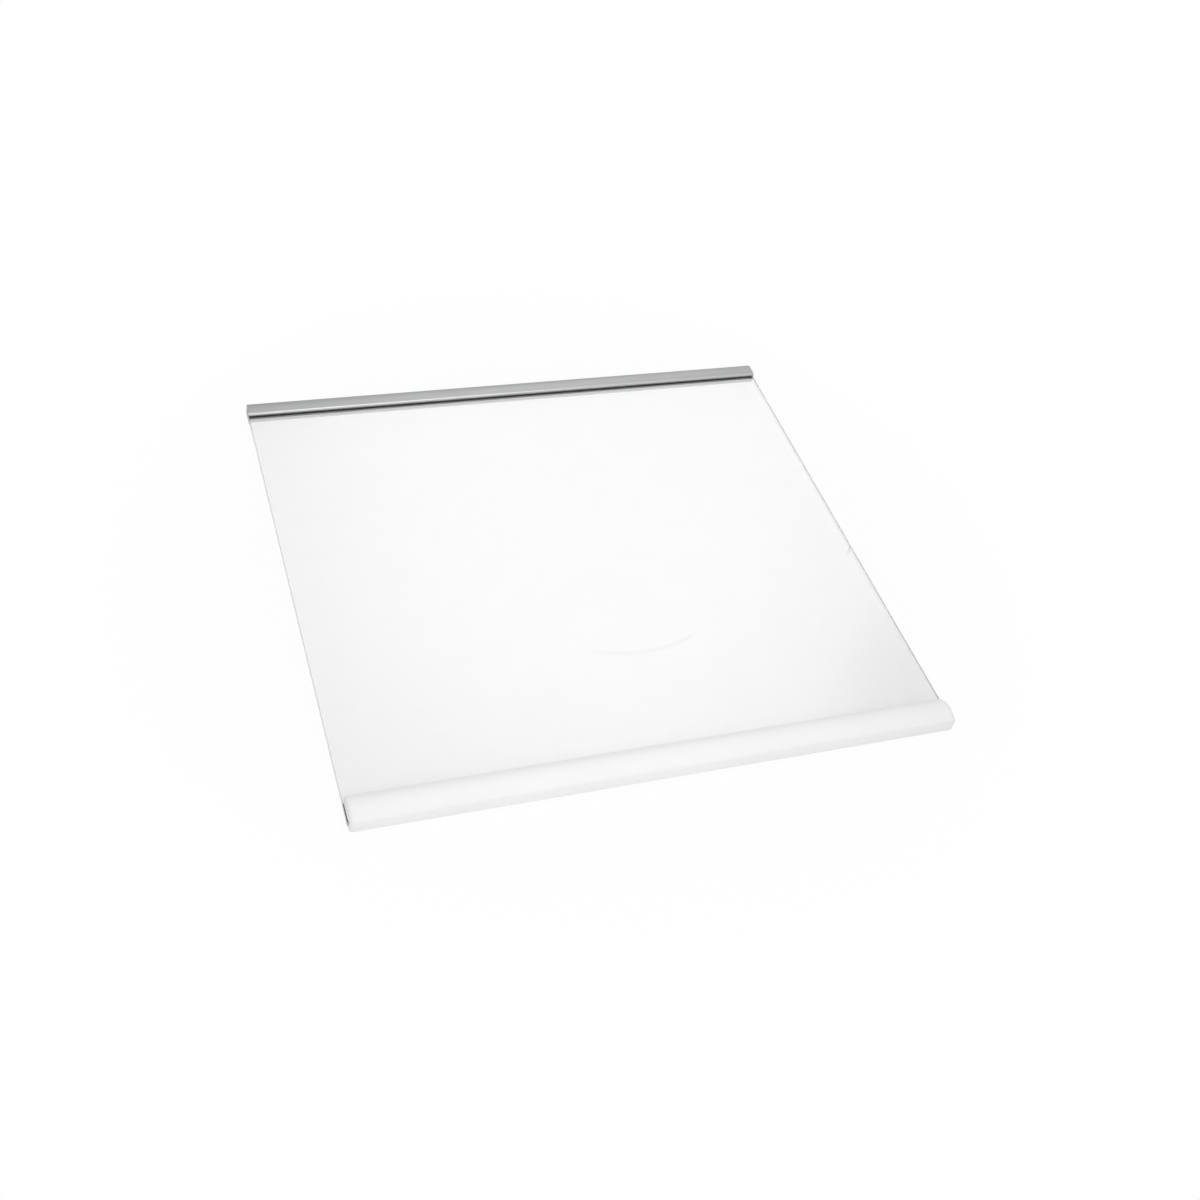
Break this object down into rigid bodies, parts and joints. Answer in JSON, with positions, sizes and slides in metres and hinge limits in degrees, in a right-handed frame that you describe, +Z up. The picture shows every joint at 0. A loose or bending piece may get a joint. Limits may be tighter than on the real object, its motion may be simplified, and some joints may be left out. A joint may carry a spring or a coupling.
{
  "type": "fridge glass shelf",
  "caption": "Clear toughened glass refrigerator shelf with a domed white front trim and a satin metal rear channel bedded on a dark gasket.",
  "frame": {"origin": "middle of the footprint, on the surface that the trims rest on", "axes": "+X along the width, to the right as seen from the front; +Y towards the back of the fridge; +Z up"},
  "size_m": [0.4326, 0.3988, 0.0125],
  "materials": {
    "glass": "polished, with ground edges",
    "white_plastic": "moulded, soft gloss",
    "satin_metal": "satin anodised",
    "gasket": "matt"
  },
  "bodies": {
    "root": {"glass_pane": "glass", "front_trim": "white_plastic", "rear_trim": "satin_metal", "rear_gasket": "gasket"}
  },
  "joints": []
}
